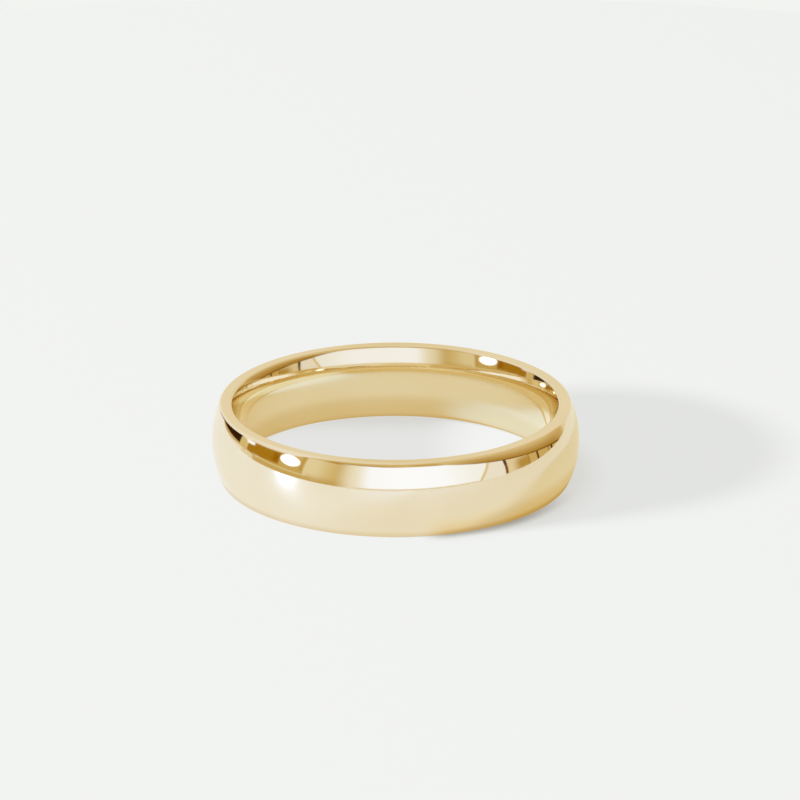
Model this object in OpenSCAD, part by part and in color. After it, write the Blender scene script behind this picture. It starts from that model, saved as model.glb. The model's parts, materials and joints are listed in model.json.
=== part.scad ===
// Comfort-fit wedding band, lying on one of its flat rims.
// The finger hole's axis is +Z. The origin is on that axis, in the plane of the lower rim.
// Millimetres.

/* [Finger hole] */
// Diameter of the finger hole at its narrowest, which sets the ring size
finger_d = 18.2; // [15.7:0.1:22.2]
// Length of the straight stretch in the middle of the finger hole
land_w = 0.8; // [0.6:0.1:1.4]
// How much the hole's radius opens from the straight stretch to the rim
comfort_relief = 0.4; // [0.25:0.05:0.45]

/* [Band] */
// Width of the band along the finger
band_w = 4.5; // [3.5:0.1:6]
// Wall thickness at the crown of the outer dome
crown_t = 1.6; // [1.4:0.1:2.2]
// How much the outer dome's radius drops from its crown to the rim
dome_drop = 0.55; // [0.3:0.05:0.6]

/* [Edges] */
// Rounding radius of the outer edge of each rim
outer_round = 0.22; // [0.1:0.02:0.24]
// Rounding radius of the inner edge of each rim
inner_round = 0.18; // [0.1:0.02:0.2]

/* [Hidden] */

half_w = band_w / 2;
finger_r = finger_d / 2;

// Steps per millimetre that arc radii are rounded to, so that tangent arcs meet cleanly
arc_steps = 10000;

// Radius of the circle on which an arc rises by `rise` over half its chord, `run`
function arc_radius(run, rise) =
    round((run * run + rise * rise) / (2 * rise) * arc_steps) / arc_steps;

// The section is drawn with x = 0 at the finger and y = 0 on the mid-plane.
// The outer dome is one arc from rim to rim.
dome_r = arc_radius(half_w, dome_drop);
dome_centre = [crown_t - dome_r, 0];

// A comfort-fit shoulder runs from each end of the straight stretch to the rim
shoulder_r = arc_radius(half_w - land_w / 2, comfort_relief);
shoulder_centre = [shoulder_r, land_w / 2];

// Centre of the rounding that touches both the upper rim and an arc.
// side is 1 where the arc bulges outwards and -1 where it bulges towards the finger.
function round_centre(arc_centre, arc_r, round_r, side) =
    let (rise = half_w - round_r - arc_centre.y)
    [arc_centre.x + side * sqrt(pow(arc_r - round_r, 2) - rise * rise), half_w - round_r];

outer_centre = round_centre(dome_centre, dome_r, outer_round, 1);
inner_centre = round_centre(shoulder_centre, shoulder_r, inner_round, -1);

// Reach of the waste cut from a corner, in rounding radii
waste_reach = 3;
// Facets of a full circle in the preview mesh
$fn = 240;

// Finger side of the section: a straight land between two comfort-fit shoulders
module finger_side() {
    for (side = [-1, 1])
        translate([shoulder_centre.x, side * shoulder_centre.y])
            circle(r = shoulder_r);
    translate([0, -land_w / 2])
        square([shoulder_r, land_w]);
}

// Sharp corner left outside a rounding, between the upper rim and the arc
module corner_waste(centre, arc_centre, round_r) {
    away = (centre - arc_centre) / norm(centre - arc_centre);
    translate(centre)
        difference() {
            polygon([[0, 0], [0, waste_reach * round_r], waste_reach * round_r * away]);
            circle(r = round_r);
        }
}

// Cross-section of the band's wall
module band_section() {
    difference() {
        intersection() {
            translate(dome_centre)
                rotate(180)
                    circle(r = dome_r);
            finger_side();
            translate([-finger_r / 2, -half_w])
                square([finger_d, band_w]);
        }
        for (flip = [0, 1])
            mirror([0, flip]) {
                corner_waste(outer_centre, dome_centre, outer_round);
                corner_waste(inner_centre, shoulder_centre, inner_round);
            }
    }
}

// The whole ring is one seamless piece of yellow gold
module band() {
    color([0.89, 0.79, 0.58])
        translate([0, 0, half_w])
            rotate_extrude()
                translate([finger_r, 0])
                    band_section();
}

band();
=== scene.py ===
import json
import math

import bpy
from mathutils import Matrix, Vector


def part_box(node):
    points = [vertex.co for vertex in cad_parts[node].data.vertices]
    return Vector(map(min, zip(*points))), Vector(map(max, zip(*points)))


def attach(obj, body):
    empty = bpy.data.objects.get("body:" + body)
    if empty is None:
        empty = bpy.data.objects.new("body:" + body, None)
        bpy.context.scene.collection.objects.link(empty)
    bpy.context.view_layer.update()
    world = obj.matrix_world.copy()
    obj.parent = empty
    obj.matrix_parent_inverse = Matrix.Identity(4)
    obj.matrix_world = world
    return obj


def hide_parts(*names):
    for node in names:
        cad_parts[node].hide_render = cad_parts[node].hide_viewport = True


# The looks of a polished comfort-fit wedding band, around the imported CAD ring.
# Metres, in the row frame: the finger hole's axis is +Z and the floor is z = 0.

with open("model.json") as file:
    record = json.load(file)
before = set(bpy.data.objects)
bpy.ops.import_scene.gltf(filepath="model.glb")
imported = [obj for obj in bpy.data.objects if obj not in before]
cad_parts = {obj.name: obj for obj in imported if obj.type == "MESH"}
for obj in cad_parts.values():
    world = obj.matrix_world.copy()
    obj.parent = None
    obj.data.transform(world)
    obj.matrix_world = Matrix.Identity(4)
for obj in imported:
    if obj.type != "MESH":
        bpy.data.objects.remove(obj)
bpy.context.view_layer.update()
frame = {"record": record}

MM = 0.001

# ---------------------------------------------------------------- ring sizes

BORE = next(m for m in frame["record"]["mounts"] if m["name"] == "finger_bore")
FINGER_R = BORE["dims"]["r_mm"] * MM
LAND_W = BORE["dims"]["length_mm"] * MM
BAND_LOW, BAND_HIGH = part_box("band")
OUTER_R = BAND_HIGH.x
HALF_W = (BAND_HIGH.z - BAND_LOW.z) / 2
MID_Z = (BAND_HIGH.z + BAND_LOW.z) / 2

DOME_DROP = 0.55 * MM
COMFORT_RELIEF = 0.40 * MM
OUTER_ROUND = 0.22 * MM
INNER_ROUND = 0.18 * MM

# Steps of the lathed mesh: round the axis, and along each stretch of the section
TURN_STEPS = 640
DOME_STEPS = 18
ROUND_STEPS = 9
RIM_STEPS = 2
SHOULDER_STEPS = 14


# ---------------------------------------------------------------- ring mesh

def arc_radius(run, rise):
    """Radius of the circle on which an arc rises by `rise` over half its chord."""
    return (run * run + rise * rise) / (2 * rise)


def arc(centre, radius, start, stop, steps):
    """Points (radius, height, normal angle) on an arc of the section."""
    for i in range(steps + 1):
        angle = start + (stop - start) * i / steps
        yield centre[0] + radius * math.cos(angle), centre[1] + radius * math.sin(angle), angle


def rounding(arc_centre, arc_r, round_r, side):
    """Centre of the rounding between the upper rim and an arc, and its first normal angle."""
    rise = HALF_W - round_r - arc_centre[1]
    run = math.sqrt((arc_r - round_r) ** 2 - rise * rise)
    centre = (arc_centre[0] + side * run, HALF_W - round_r)
    return centre, math.atan2(rise, side * run)


def upper_section():
    """Upper half of the section, from the crown of the dome over the rim to the finger hole."""
    dome_r = arc_radius(HALF_W, DOME_DROP)
    dome_c = (OUTER_R - dome_r, 0)
    shoulder_r = arc_radius(HALF_W - LAND_W / 2, COMFORT_RELIEF)
    shoulder_c = (FINGER_R + shoulder_r, LAND_W / 2)
    outer_c, outer_start = rounding(dome_c, dome_r, OUTER_ROUND, 1)
    inner_c, inner_stop = rounding(shoulder_c, shoulder_r, INNER_ROUND, -1)
    up = math.pi / 2
    points = list(arc(dome_c, dome_r, 0, outer_start, DOME_STEPS))
    points += list(arc(outer_c, OUTER_ROUND, outer_start, up, ROUND_STEPS))[1:]
    rim_run = outer_c[0] - inner_c[0]
    points += [(outer_c[0] - rim_run * i / RIM_STEPS, HALF_W, up) for i in range(1, RIM_STEPS)]
    points += list(arc(inner_c, INNER_ROUND, up, inner_stop, ROUND_STEPS))
    points += list(arc(shoulder_c, shoulder_r, inner_stop, math.pi, SHOULDER_STEPS))[1:]
    return points


def section():
    """The closed section, once round, as (radius, height, normal angle)."""
    upper = upper_section()
    lower = [(r, -h, -angle) for r, h, angle in reversed(upper[1:])]
    return upper + lower


def lathe(name, profile):
    """A smooth mesh turned about +Z, with the section's own normals."""
    count = len(profile)
    verts, normals, faces = [], [], []
    for turn in range(TURN_STEPS):
        theta = 2 * math.pi * turn / TURN_STEPS
        c, s = math.cos(theta), math.sin(theta)
        for r, h, angle in profile:
            verts.append((r * c, r * s, MID_Z + h))
            out = math.cos(angle)
            normals.append((out * c, out * s, math.sin(angle)))
    for turn in range(TURN_STEPS):
        a, b = turn * count, (turn + 1) % TURN_STEPS * count
        for i in range(count):
            j = (i + 1) % count
            faces.append((a + i, b + i, b + j, a + j))
    mesh = bpy.data.meshes.new(name)
    mesh.from_pydata(verts, [], faces)
    mesh.validate()
    mesh.shade_smooth()
    mesh.normals_split_custom_set_from_vertices(normals)
    obj = bpy.data.objects.new(name, mesh)
    bpy.context.scene.collection.objects.link(obj)
    return obj


# ---------------------------------------------------------------- node helpers

def socket(tree, target, value):
    """Feeds a node input from a number, a colour or another node's output."""
    if isinstance(value, bpy.types.NodeSocket):
        tree.links.new(value, target)
    else:
        target.default_value = value


def maths(tree, operation, *values):
    """Result of one operation on numbers or other nodes' outputs."""
    node = tree.nodes.new("ShaderNodeMath")
    node.operation = operation
    for target, value in zip(node.inputs, values):
        socket(tree, target, value)
    return node.outputs[0]


def ramp(tree, value, start, stop, low=0.0, high=1.0):
    """Smooth step of value from low to high between start and stop."""
    node = tree.nodes.new("ShaderNodeMapRange")
    node.interpolation_type = "SMOOTHSTEP"
    for key, number in zip(("Value", "From Min", "From Max", "To Min", "To Max"),
                           (value, start, stop, low, high)):
        socket(tree, node.inputs[key], number)
    return node.outputs["Result"]


def blend(tree, factor, below, above, mode="MIX"):
    """Colour below where factor is 0 and above, laid on in the given mode, where it is 1."""
    node = tree.nodes.new("ShaderNodeMix")
    node.data_type = "RGBA"
    node.blend_type = mode
    socket(tree, node.inputs["Factor"], factor)
    for target, colour in zip([s for s in node.inputs if s.type == "RGBA"], (below, above)):
        socket(tree, target, colour if isinstance(colour, bpy.types.NodeSocket) else (*colour, 1))
    return next(s for s in node.outputs if s.type == "RGBA")


def blend_number(tree, factor, below, above):
    """Number below where factor is 0 and above where it is 1."""
    step = maths(tree, "SUBTRACT", above, below)
    return maths(tree, "ADD", below, maths(tree, "MULTIPLY", factor, step))


def axes_of(tree, place):
    """x, y, z and the distance from the finger hole's axis."""
    node = tree.nodes.new("ShaderNodeSeparateXYZ")
    tree.links.new(place, node.inputs[0])
    x, y, z = node.outputs
    square = maths(tree, "ADD", maths(tree, "POWER", x, 2), maths(tree, "POWER", y, 2))
    return x, y, z, maths(tree, "SQRT", square)


# ---------------------------------------------------------------- gold

GOLD = (0.905, 0.77, 0.54)
# The comfort-fit shoulders have a deeper gold than the outside, which makes their reflections dimmer
GOLD_SHOULDER = (0.84, 0.69, 0.44)
# Gold stays yellow where it is seen at a glancing angle
GLANCING_TINT = (0.978, 0.94, 0.865)
# How far the alloy's tone drifts over a few millimetres
TONE_DRIFT = (0.985, 0.975, 0.95)
POLISHED, SATIN, WORN = 0.045, 0.065, 0.12

# Noise cells per metre: across the polishing lines, along them, and for slow drift
LINES_ACROSS, LINES_ALONG, DRIFT = 11000, 160, 260
LINES_DETAIL, DRIFT_DETAIL = 3.0, 2.0
# The values between which the noise mostly stays
NOISE_RANGE = (0.3, 0.7)
# Depth of the polishing lines, and the share by which they change the roughness either way
LINE_DEPTH = 0.0003 * MM
LINE_SPREAD = 0.2

# Each pair below gives the places where a part of the finish starts and where it is full.
# The finger side is told from the outside by its radius, inside the flat rim
FINGER_SIDE = (FINGER_R + 0.55 * MM, FINGER_R + 0.35 * MM)
# Heights from the mid-plane: satin on the shoulders, wear on the rounded edges, and its fading
# towards the flat rim
SATIN_RISE = (LAND_W / 2, LAND_W * 1.5)
WEAR_RISE = (HALF_W - OUTER_ROUND, HALF_W - OUTER_ROUND / 3)
WEAR_FADE = (HALF_W, HALF_W - OUTER_ROUND / 4)
# Wear comes and goes along the edge with the slow noise
WEAR_PATCHES = (0.35, 0.6)


def noise(tree, place, w, detail):
    """Four-dimensional noise in cells of the given coordinates."""
    node = tree.nodes.new("ShaderNodeTexNoise")
    node.noise_dimensions = "4D"
    for key, value in (("Vector", place), ("W", w), ("Scale", 1.0), ("Detail", detail)):
        socket(tree, node.inputs[key], value)
    return node.outputs[0]


def combine(tree, x, y, z):
    """One vector from three numbers."""
    node = tree.nodes.new("ShaderNodeCombineXYZ")
    for target, value in zip(node.inputs, (x, y, z)):
        socket(tree, target, value)
    return node.outputs[0]


def tinted(colour, tint):
    """A colour times a tint."""
    return tuple(c * t for c, t in zip(colour, tint))


def polished_gold():
    """Mirror-polished pale gold: lines round the band, satin shoulders, slightly worn edges."""
    mat = bpy.data.materials.new("yellow_gold_polished")
    mat.use_nodes = True
    tree = mat.node_tree
    place = tree.nodes.new("ShaderNodeTexCoord").outputs["Object"]
    x, y, z, out = axes_of(tree, place)
    along = [maths(tree, "MULTIPLY", v, LINES_ALONG) for v in (x, y)]
    lines = noise(tree, combine(tree, *along, maths(tree, "MULTIPLY", z, LINES_ACROSS)),
                  maths(tree, "MULTIPLY", out, LINES_ACROSS), LINES_DETAIL)
    cells = [maths(tree, "MULTIPLY", v, DRIFT) for v in (x, y, z)]
    drift = noise(tree, combine(tree, *cells), 0.0, DRIFT_DETAIL)

    height = maths(tree, "ABSOLUTE", maths(tree, "SUBTRACT", z, MID_Z))
    inside = ramp(tree, out, *FINGER_SIDE)
    shoulder = maths(tree, "MULTIPLY", inside, ramp(tree, height, *SATIN_RISE))
    edge = ramp(tree, height, *WEAR_RISE)
    edge = maths(tree, "MULTIPLY", edge, ramp(tree, height, *WEAR_FADE))
    wear = maths(tree, "MULTIPLY", edge, ramp(tree, drift, *WEAR_PATCHES))

    tone = ramp(tree, drift, *NOISE_RANGE)
    buffed = blend(tree, tone, GOLD, tinted(GOLD, TONE_DRIFT))
    deeper_gold = blend(tree, tone, GOLD_SHOULDER, tinted(GOLD_SHOULDER, TONE_DRIFT))
    shader = tree.nodes["Principled BSDF"]
    shader.inputs["Metallic"].default_value = 1.0
    shader.inputs["Specular Tint"].default_value = (*GLANCING_TINT, 1)
    tree.links.new(blend(tree, shoulder, buffed, deeper_gold), shader.inputs["Base Color"])

    rough = ramp(tree, lines, *NOISE_RANGE, POLISHED * (1 - LINE_SPREAD), POLISHED * (1 + LINE_SPREAD))
    rough = maths(tree, "ADD", rough, maths(tree, "MULTIPLY", inside, SATIN - POLISHED))
    rough = maths(tree, "ADD", rough, maths(tree, "MULTIPLY", wear, WORN - POLISHED))
    tree.links.new(rough, shader.inputs["Roughness"])

    bump = tree.nodes.new("ShaderNodeBump")
    bump.inputs["Distance"].default_value = LINE_DEPTH
    tree.links.new(lines, bump.inputs["Height"])
    tree.links.new(bump.outputs["Normal"], shader.inputs["Normal"])
    return mat


# ---------------------------------------------------------------- studio

# The key light shines from far on the left: its direction, and the degrees that it spans
KEY_AZIMUTH, KEY_ELEVATION = -71.5, 18.6
KEY_WIDE, KEY_TALL = 14, 5
KEY_DISTANCE = 1.4
KEY_POWER = 9
KEY_COLOUR = (1, 1, 1)
# The same light as the metal sees it
SPOT = dict(az=-69.8, el=14.8, wide=14, tall=10.9, soft=0.2, colour=(2.4, 2.8, 4.0))
# The broad sheen that it leaves on the floor, which only the metal sees
SHEEN_POWER = 10
SHEEN_COLOUR = (0.28, 0.45, 1.0)
# The photographed metal gives some of its colour back where it reflects itself, and drifts
# less towards red with each further reflection, up to a few: on the floor this is painted light
SEEN_AGAIN = (1.2, 1.38, 1.8)
LESS_RED = (0.985, 1.045, 1.08)
LESS_RED_BOUNCES = (2, 3, 4)
# The sky lights the floor, and the camera sees the backdrop beyond the floor's edge
SKY = (0.957, 0.957, 0.962)
BACKDROP = (0.88, 0.90, 0.87)

# The room's walls turn into its ceiling between two elevations, the second just past overhead
ROOM = (0.69, 0.53, 0.24)
CEILING = (0.88, 0.91, 0.87)
CEILING_RISE = (40, 92)

# What the polished metal sees in front of that room. Azimuth is in degrees, 0 towards the
# camera's side and positive to its right, and elevation is above the floor. soft is the width
# of the left, right and level edges, lean is how far the upright edges move per degree of
# elevation, and tilt is how far the level edges move per degree of azimuth. A fourth number in
# soft is the width of the upper edge where it differs from the lower. Each card covers the ones
# before it.
CARDS = (
    # Pale walls behind the ring and the seam between them
    dict(az=(-178, -64), el=(-9, 66), soft=(10, 7, 16), colour=(0.91, 0.93, 0.95)),
    dict(az=(120, 195), el=(-9, 60), soft=(20, 20, 16), colour=(0.86, 0.83, 0.71)),
    dict(az=(179.4, 180.6), el=(-9, 60), soft=(1, 1, 16), colour=(0.81, 0.745, 0.56)),
    # Warm wall between the key light and the softbox
    dict(az=(-62.5, -25), el=(-9, 26), soft=(2, 3, 6), colour=(0.56, 0.39, 0.11)),
    dict(az=(-59, -25), el=(-9, 27), soft=(2, 3, 6), colour=(0.82, 0.78, 0.58)),
    dict(az=(-46, -25), el=(-9, 27), soft=(14, 3, 6), colour=(0.72, 0.60, 0.32)),
    dict(az=(-38, -25), el=(-9, 27), soft=(8, 3, 6), colour=(0.65, 0.51, 0.20)),
    dict(az=(-57, -25), el=(-9, 3), soft=(3, 3, 1, 14), colour=(0.57, 0.41, 0.13)),
    # Brown cabinet beyond the key light, with its pale foot and the things beside it
    dict(az=(-106, -62), el=(-9, 17.3), soft=(3, 3, 2), tilt=0.27, colour=(0.62, 0.47, 0.17)),
    dict(az=(-105, -77), el=(1, 15.2), soft=(2, 2, 2), tilt=0.27, colour=(0.42, 0.225, 0.015)),
    dict(az=(-82.5, -78), el=(7, 16), soft=(3, 1, 4), colour=(0.34, 0.155, 0.004)),
    dict(az=(-88, -60), el=(2, 6), soft=(8, 2, 1, 4), tilt=0.1, colour=(0.62, 0.47, 0.17)),
    dict(az=(-97, -58), el=(-9, 3.8), soft=(8, 4, 1, 2), colour=(0.80, 0.74, 0.50)),
    dict(az=(-97, -56), el=(-9, 2.6), soft=(3, 4, 1, 1.5), lean=1.5, colour=(0.62, 0.47, 0.18)),
    dict(az=(-110, -98), el=(-9, 2.3), soft=(2, 3, 1, 1.5), colour=(0.82, 0.78, 0.62)),
    dict(az=(-150, -110), el=(-2.2, 3), soft=(14, 3, 1), tilt=0.16, colour=(0.66, 0.52, 0.24)),
    dict(az=(-147, -113), el=(-0.4, 8), soft=(14, 2, 1), tilt=0.16, colour=(0.035, 0.014, 0.001)),
    dict(az=(-113, -106), el=(1, 9), soft=(1, 2, 1), colour=(0.72, 0.60, 0.30)),
    dict(az=(-107, -100), el=(8.9, 11.6), soft=(2, 2, 1), tilt=0.27, colour=(1.1, 1.25, 1.6)),
    # Dark edge above the softbox, on its left
    dict(az=(-46, 0), el=(26, 29.6), soft=(8, 14, 1), colour=(0.48, 0.31, 0.08)),
    # Softbox, which fades out on its left, a low strip at its foot, and a dark edge above its right
    dict(az=(-32, 61), el=(-4, 28), soft=(15, 1, 1.5), colour=(0.90, 0.93, 0.90)),
    dict(az=(-20, 61), el=(-4, 28), soft=(13, 1, 1.5), colour=(1.07, 1.25, 1.75)),
    dict(az=(40, 62), el=(-4, 28), soft=(30, 1, 2), colour=(1.0, 1.14, 1.45)),
    dict(az=(-25, 52), el=(-4, -0.9), soft=(8, 4, 1, 1.4), colour=(0.80, 0.70, 0.42)),
    dict(az=(12, 38), el=(27.3, 30), soft=(6, 8, 1), tilt=-0.1, colour=(0.56, 0.40, 0.13)),
    # Panels, stands and a dark ledge to the right of the softbox
    dict(az=(53, 120), el=(-4, 26), soft=(1, 1, 2), lean=0.41, colour=(0.78, 0.68, 0.42)),
    dict(az=(55, 120), el=(-4, 26), soft=(1.5, 1, 2), lean=0.41, colour=(0.92, 0.97, 1.08)),
    dict(az=(73, 130), el=(-4, 26), soft=(1, 4, 2), colour=(0.82, 0.76, 0.58)),
    dict(az=(80, 91), el=(-4, 9), soft=(9, 1, 10), colour=(0.50, 0.33, 0.08)),
    dict(az=(90.5, 130), el=(-4, 26), soft=(1, 6, 2), colour=(0.66, 0.49, 0.20)),
    dict(az=(71.2, 73.2), el=(-2, 26), soft=(0.5, 0.5, 1), colour=(0.22, 0.09, 0.005)),
    dict(az=(71.2, 73.2), el=(8, 26), soft=(0.5, 0.5, 4), colour=(0.07, 0.025, 0.002)),
    dict(az=(90.3, 91), el=(-2, 20), soft=(0.5, 0.5, 1), colour=(0.36, 0.20, 0.04)),
    dict(az=(97.7, 99.3), el=(-2, 20), soft=(0.5, 0.5, 1), colour=(0.07, 0.025, 0.002)),
    dict(az=(109, 110), el=(-2, 20), soft=(0.5, 0.5, 1), colour=(0.30, 0.18, 0.05)),
    dict(az=(112, 114), el=(-2, 20), soft=(0.5, 0.5, 1), colour=(0.05, 0.02, 0.002)),
    dict(az=(30, 125), el=(12.2, 70), soft=(10, 30, 1), tilt=-0.325, colour=(0.74, 0.62, 0.36)),
    dict(az=(45, 125), el=(9.8, 15), soft=(40, 20, 1, 12), tilt=-0.325, colour=(0.44, 0.26, 0.03)),
    dict(az=(50, 125), el=(8.6, 9.6), soft=(50, 10, 0.8), tilt=-0.325, colour=(0.20, 0.09, 0.01)),
)


def towards(azimuth, elevation):
    """Unit vector to a place in the studio."""
    a, e = math.radians(azimuth), math.radians(elevation)
    return Vector((math.sin(a) * math.cos(e), -math.cos(a) * math.cos(e), math.sin(e)))


def window(tree, value, low, high, soft_low, soft_high):
    """1 between low and high and 0 outside, with soft edges of the given widths."""
    rise = ramp(tree, value, low - soft_low / 2, low + soft_low / 2)
    fall = ramp(tree, value, high - soft_high / 2, high + soft_high / 2, 1.0, 0.0)
    return maths(tree, "MULTIPLY", rise, fall)


def card(tree, azimuth, elevation, below, az, el, soft, colour, lean=0, tilt=0):
    """Lays one soft-edged card over what the metal sees so far."""
    centre, half = (az[0] + az[1]) / 2, (az[1] - az[0]) / 2
    off = maths(tree, "WRAP", maths(tree, "SUBTRACT", azimuth, centre), 180, -180)
    across, up = off, elevation
    if lean:
        across = maths(tree, "SUBTRACT", off, maths(tree, "MULTIPLY", elevation, lean))
    if tilt:
        up = maths(tree, "SUBTRACT", elevation, maths(tree, "MULTIPLY", off, tilt))
    mask = maths(tree, "MULTIPLY", window(tree, across, -half, half, soft[0], soft[1]),
                 window(tree, up, el[0], el[1], soft[2], soft[-1]))
    return blend(tree, mask, below, colour)


def oval(tree, azimuth, elevation, below, az, el, wide, tall, soft, colour):
    """Lays an oval patch over what the metal sees. soft is its edge, as a share of its radius."""
    across = maths(tree, "DIVIDE", maths(tree, "SUBTRACT", azimuth, az), wide / 2)
    up = maths(tree, "DIVIDE", maths(tree, "SUBTRACT", elevation, el), tall / 2)
    square = maths(tree, "ADD", maths(tree, "POWER", across, 2), maths(tree, "POWER", up, 2))
    mask = ramp(tree, maths(tree, "SQRT", square), 1 + soft, 1 - soft)
    return blend(tree, mask, below, colour)


def studio_world():
    """A soft plain sky that lights the floor, and the set that the metal reflects."""
    world = bpy.data.worlds.new("studio")
    bpy.context.scene.world = world
    world.use_nodes = True
    world.cycles.sampling_method = "NONE"
    tree = world.node_tree
    tree.nodes.clear()
    view = tree.nodes.new("ShaderNodeTexCoord").outputs["Generated"]
    x, y, z, _ = axes_of(tree, view)
    azimuth = maths(tree, "DEGREES", maths(tree, "ARCTAN2", x, maths(tree, "MULTIPLY", y, -1)))
    elevation = maths(tree, "DEGREES", maths(tree, "ARCSINE", z))
    seen = blend(tree, ramp(tree, elevation, *CEILING_RISE), ROOM, CEILING)
    for settings in CARDS:
        seen = card(tree, azimuth, elevation, seen, **settings)
    seen = oval(tree, azimuth, elevation, seen, **SPOT)
    seen = seen_again(tree, seen)
    rays = tree.nodes.new("ShaderNodeLightPath")
    plain = tree.nodes.new("ShaderNodeBackground")
    tree.links.new(blend(tree, rays.outputs["Is Camera Ray"], SKY, BACKDROP), plain.inputs["Color"])
    detail = tree.nodes.new("ShaderNodeBackground")
    tree.links.new(seen, detail.inputs["Color"])
    pick = tree.nodes.new("ShaderNodeMixShader")
    tree.links.new(rays.outputs["Is Glossy Ray"], pick.inputs[0])
    tree.links.new(plain.outputs[0], pick.inputs[1])
    tree.links.new(detail.outputs[0], pick.inputs[2])
    out = tree.nodes.new("ShaderNodeOutputWorld")
    tree.links.new(pick.outputs[0], out.inputs["Surface"])


def seen_again(tree, colour):
    """Lightens what rays see that have already gone from one inner wall to another, and makes it less
    red; on the floor this is painted light.
    """
    bounces = tree.nodes.new("ShaderNodeLightPath").outputs["Glossy Depth"]
    colour = blend(tree, ramp(tree, bounces, 1, 2), colour, SEEN_AGAIN, "MULTIPLY")
    for count in LESS_RED_BOUNCES:
        colour = blend(tree, ramp(tree, bounces, count, count + 1), colour, LESS_RED, "MULTIPLY")
    return colour


def oval_light(name, azimuth, elevation, wide, tall, power, colour):
    """An oval light that shines only on the floor."""
    light = bpy.data.lights.new(name, "AREA")
    light.shape = "ELLIPSE"
    light.energy = power
    light.color = colour
    light.size = 2 * KEY_DISTANCE * math.tan(math.radians(wide / 2))
    light.size_y = 2 * KEY_DISTANCE * math.tan(math.radians(tall / 2))
    obj = bpy.data.objects.new(name, light)
    way = towards(azimuth, elevation)
    obj.location = way * KEY_DISTANCE
    obj.rotation_euler = way.to_track_quat("Z", "Y").to_euler()
    bpy.context.scene.collection.objects.link(obj)
    receivers = bpy.data.collections.new(name + "_receivers")
    receivers.objects.link(bpy.data.objects["floor"])
    obj.light_linking.receiver_collection = receivers
    return obj


def key_lights():
    """The key light as the camera sees its shadow, and as the metal sees its sheen."""
    key = oval_light("key", KEY_AZIMUTH, KEY_ELEVATION, KEY_WIDE, KEY_TALL, KEY_POWER,
                     KEY_COLOUR)
    key.visible_glossy = False
    sheen = oval_light("key_sheen", SPOT["az"], SPOT["el"], SPOT["wide"], SPOT["tall"],
                       SHEEN_POWER, SHEEN_COLOUR)
    sheen.visible_diffuse = False


# ---------------------------------------------------------------- floor

FLOOR_RADIUS = 0.1
FLOOR_SIDES = 96
FLOOR_COLOUR = (0.80, 0.81, 0.79)
FLOOR_ROUGHNESS = 0.5
# The sheen on the floor, which only the metal sees
FLOOR_SPECULAR = 0.12
# Painted light and shade on the floor: lighter in the finger hole as if lit by its walls, painted
# contact shade beside the ring in its shadow, and a painted shadow line in the gap under its edge
FLOOR_HOLE_PAINTED_LIGHT = (0.815, 0.822, 0.803)
FLOOR_PAINTED_CONTACT_SHADE = (0.71, 0.70, 0.66)
FLOOR_PAINTED_FOOT_SHADOW = (0.38, 0.36, 0.31)
# The floor as the metal sees it, with painted light and shade: cooler towards the key light,
# a warmer painted shadow where the ring's shadow falls, and painted gold bounce beside the
# walls that stand in that shadow
SEEN_TOWARDS_KEY = (0.85, 0.91, 1.0)
SEEN_LIT = (0.81, 0.83, 0.81)
SEEN_FAR = (0.74, 0.70, 0.56)
SEEN_LIT_IN_HOLE = (0.87, 0.95, 1.0)
SEEN_IN_SHADOW = (0.86, 0.82, 0.64)
SEEN_GOLD_BOUNCE_OUTSIDE = (0.77, 0.61, 0.28)
SEEN_GOLD_BOUNCE_INSIDE = (0.80, 0.67, 0.37)
SEEN_FOOT_SHADE = (0.60, 0.42, 0.12)
# Middle of the flat rim, which throws the edge of the shadow, and how far it throws it
RIM_R = (FINGER_R + COMFORT_RELIEF + OUTER_R - DOME_DROP) / 2
SHADOW_REACH = 13 * MM
# Light from the walls shortens the shadow in the finger hole
SHORTER_INSIDE = 0.7 * MM
# The shadow starts a little before the rim, on the light's side. Its edges are soft where it
# starts, where it ends and along its sides
SHADOW_START = -1 * MM
SOFT_START, SOFT_END, SOFT_SIDE = 2 * MM, 3.5 * MM, 3 * MM

# Each pair below gives the places where painted light or shade on the floor starts and
# where it is full. Radii: the finger hole, the painted shade in the gap under the outer edge,
# the painted shade beside the ring as the camera and the metal see it, and the painted gold
# bounce deep in the hole
IN_HOLE = (OUTER_R - 0.8 * MM, FINGER_R)
UNDER_EDGE = (OUTER_R - 0.1 * MM, OUTER_R - 0.5 * MM)
BESIDE = (OUTER_R + 2 * MM, OUTER_R - 0.7 * MM)
BOUNCE_BESIDE_R = (OUTER_R + 1.9 * MM, OUTER_R - 0.7 * MM)
BOUNCE_DEEP_R = (FINGER_R * 0.44, FINGER_R)
# That painted gold bounce is stronger beside the near wall: the share of y that is taken off the
# radius
BOUNCE_SLANT = 0.25
# Distances along y: the far front of the floor, the back of the hole, and the ring's front
FAR_FRONT = (-FLOOR_RADIUS / 3, -FLOOR_RADIUS)
BACK_OF_HOLE = (FINGER_R * 0.66, FINGER_R + COMFORT_RELIEF)
RING_FRONT = (-OUTER_R * 0.2, -OUTER_R * 0.75)
# Distance along the shadow, on the side of the key light
TOWARDS_KEY = (-3 * MM, -11 * MM)
# The painted shadow at the foot as the camera sees it: its outer radius and the softness of its two
# edges
FOOT_R, FOOT_SOFT_IN, FOOT_SOFT_OUT = OUTER_R - 0.1 * MM, 0.6 * MM, 1 * MM
# How much of the painted shade at the foot is left where the key light reaches it
LIT_FOOT = 0.3


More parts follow.
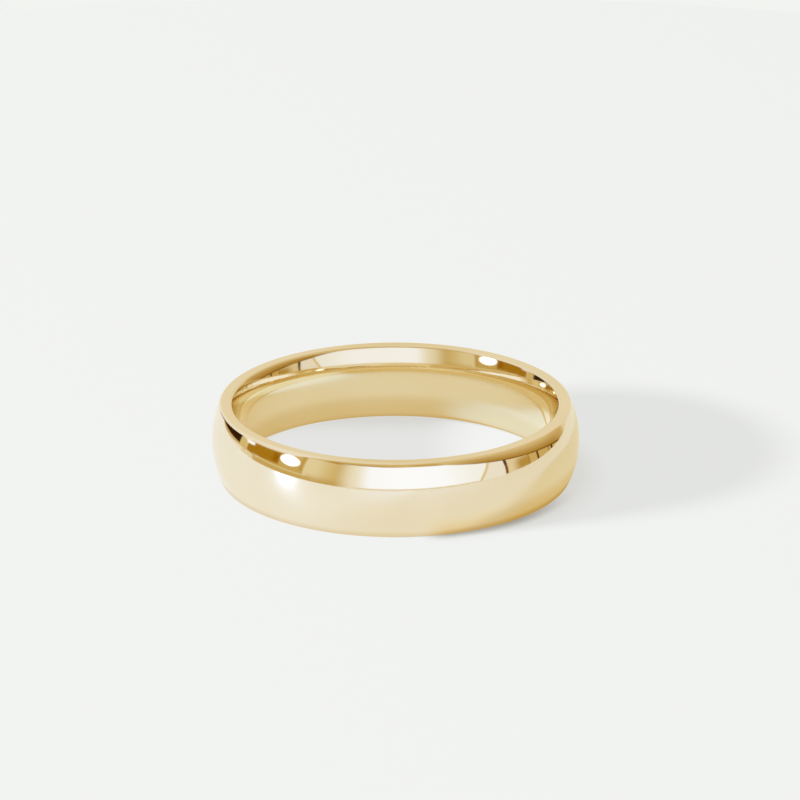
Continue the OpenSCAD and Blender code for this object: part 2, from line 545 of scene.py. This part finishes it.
def shadow_mask(tree, along, across, inside):
    """1 where a wall of the ring stands between the floor and the key light."""
    square = maths(tree, "SUBTRACT", RIM_R ** 2, maths(tree, "POWER", across, 2))
    chord = maths(tree, "SQRT", maths(tree, "MAXIMUM", square, 0))
    side = ramp(tree, inside, 0, 1, -1.0, 1.0)
    behind = maths(tree, "ADD", along, maths(tree, "MULTIPLY", chord, side))
    behind = maths(tree, "ADD", behind, maths(tree, "MULTIPLY", inside, SHORTER_INSIDE))
    return maths(tree, "MULTIPLY",
                 window(tree, behind, SHADOW_START, SHADOW_REACH, SOFT_START, SOFT_END),
                 window(tree, across, -OUTER_R, OUTER_R, SOFT_SIDE, SOFT_SIDE))


def floor_seen_by_metal(tree, y, out, along, inside, shade):
    """Colour of the floor in the metal's reflections, with painted light, shadow and gold bounce."""
    # Painted shade in the gap under the ring's edge
    foot = ramp(tree, out, *UNDER_EDGE)
    # Painted light: cooler towards the key light, and darker towards the far front
    outside_lit = blend(tree, ramp(tree, along, *TOWARDS_KEY), SEEN_LIT, SEEN_TOWARDS_KEY)
    outside_lit = blend(tree, ramp(tree, y, *FAR_FRONT), outside_lit, SEEN_FAR)
    outside_lit = blend(tree, maths(tree, "MULTIPLY", foot, LIT_FOOT), outside_lit, SEEN_FOOT_SHADE)
    # Painted shadow, with painted gold bounce beside the ring and deep in the hole
    outside_dark = blend(tree, ramp(tree, out, *BOUNCE_BESIDE_R), SEEN_IN_SHADOW, SEEN_GOLD_BOUNCE_OUTSIDE)
    outside_dark = blend(tree, foot, outside_dark, SEEN_FOOT_SHADE)
    depth = maths(tree, "SUBTRACT", out, maths(tree, "MULTIPLY", y, BOUNCE_SLANT))
    inside_dark = blend(tree, ramp(tree, depth, *BOUNCE_DEEP_R), SEEN_IN_SHADOW, SEEN_GOLD_BOUNCE_INSIDE)
    lit = blend(tree, inside, outside_lit, SEEN_LIT_IN_HOLE)
    dark = blend(tree, inside, outside_dark, inside_dark)
    return seen_again(tree, blend(tree, shade, lit, dark))


def floor_seen_by_camera(tree, y, out, inside, shade):
    """Colour of the floor in the picture, with painted contact shade, a painted shadow line and
    painted light.
    """
    # Painted contact shade beside the ring and at the back of the hole, only where the ring's shadow
    # falls
    near = blend_number(tree, inside, ramp(tree, out, *BESIDE), ramp(tree, y, *BACK_OF_HOLE))
    # Painted light: the floor in the finger hole is lighter, as if lit by the ring's walls
    colour = blend(tree, inside, FLOOR_COLOUR, FLOOR_HOLE_PAINTED_LIGHT)
    colour = blend(tree, maths(tree, "MULTIPLY", near, shade), colour, FLOOR_PAINTED_CONTACT_SHADE)
    # Painted shadow line in the gap under the ring's front edge
    foot = window(tree, out, FINGER_R, FOOT_R, FOOT_SOFT_IN, FOOT_SOFT_OUT)
    front = maths(tree, "MULTIPLY", shade, ramp(tree, y, *RING_FRONT))
    return blend(tree, maths(tree, "MULTIPLY", foot, front), colour, FLOOR_PAINTED_FOOT_SHADOW)


def pale_floor():
    """Matt pale floor, with painted shadow, shade and light placed by the ring's shadow and beside the
    ring.
    """
    mat = bpy.data.materials.new("pale_floor")
    mat.use_nodes = True
    tree = mat.node_tree
    x, y, _, out = axes_of(tree, tree.nodes.new("ShaderNodeNewGeometry").outputs["Position"])
    away = towards(KEY_AZIMUTH + 180, 0)
    along = maths(tree, "ADD", maths(tree, "MULTIPLY", x, away.x), maths(tree, "MULTIPLY", y, away.y))
    across = maths(tree, "SUBTRACT", maths(tree, "MULTIPLY", x, away.y),
                   maths(tree, "MULTIPLY", y, away.x))
    inside = ramp(tree, out, *IN_HOLE)
    shade = shadow_mask(tree, along, across, inside)
    rays = tree.nodes.new("ShaderNodeLightPath")
    colour = blend(tree, rays.outputs["Is Glossy Ray"],
                   floor_seen_by_camera(tree, y, out, inside, shade),
                   floor_seen_by_metal(tree, y, out, along, inside, shade))
    shader = tree.nodes["Principled BSDF"]
    tree.links.new(colour, shader.inputs["Base Color"])
    shader.inputs["Roughness"].default_value = FLOOR_ROUGHNESS
    tree.links.new(maths(tree, "MULTIPLY", rays.outputs["Is Glossy Ray"], FLOOR_SPECULAR),
                   shader.inputs["Specular IOR Level"])
    return mat


def floor():
    """A round floor, past which the backdrop has the same tone."""
    mesh = bpy.data.meshes.new("floor")
    turns = [2 * math.pi * i / FLOOR_SIDES for i in range(FLOOR_SIDES)]
    rim = [(FLOOR_RADIUS * math.cos(t), FLOOR_RADIUS * math.sin(t), 0) for t in turns]
    mesh.from_pydata(rim, [], [range(FLOOR_SIDES)])
    obj = bpy.data.objects.new("floor", mesh)
    bpy.context.scene.collection.objects.link(obj)
    obj.data.materials.append(pale_floor())


# ---------------------------------------------------------------- camera

CAMERA_ELEVATION = 20.27
CAMERA_DISTANCE = 0.3228
CAMERA_LENS = 250
CAMERA_SENSOR = 36
CLIP_NEAR, CLIP_FAR = 0.01, 20
# The ring sits a little below and left of the middle of the picture
AIM_RIGHT, AIM_UP = 0.28 * MM, 2.16 * MM


def camera():
    """The photo's view of the ring."""
    data = bpy.data.cameras.new("camera")
    data.lens = CAMERA_LENS
    data.sensor_width = CAMERA_SENSOR
    data.clip_start, data.clip_end = CLIP_NEAR, CLIP_FAR
    obj = bpy.data.objects.new("camera", data)
    bpy.context.scene.collection.objects.link(obj)
    back = towards(0, CAMERA_ELEVATION)
    up = towards(180, 90 - CAMERA_ELEVATION)
    aim = Vector((0, 0, MID_Z)) + Vector((AIM_RIGHT, 0, 0)) + up * AIM_UP
    obj.location = aim + back * CAMERA_DISTANCE
    obj.rotation_euler = back.to_track_quat("Z", "Y").to_euler()
    bpy.context.scene.camera = obj


# ---------------------------------------------------------------- scene

# Light goes round the inside of the ring many times
BOUNCES = 32

camera()
floor()
studio_world()
key_lights()

ring = lathe("ring", section())
ring.data.materials.append(polished_gold())
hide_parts("band")
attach(ring, "root")
# The sky lights the floor evenly right up to the ring, as in a retouched product picture
ring.visible_diffuse = False

bpy.context.scene.view_settings.view_transform = "Standard"
bpy.context.scene.cycles.max_bounces = BOUNCES
bpy.context.scene.cycles.glossy_bounces = BOUNCES
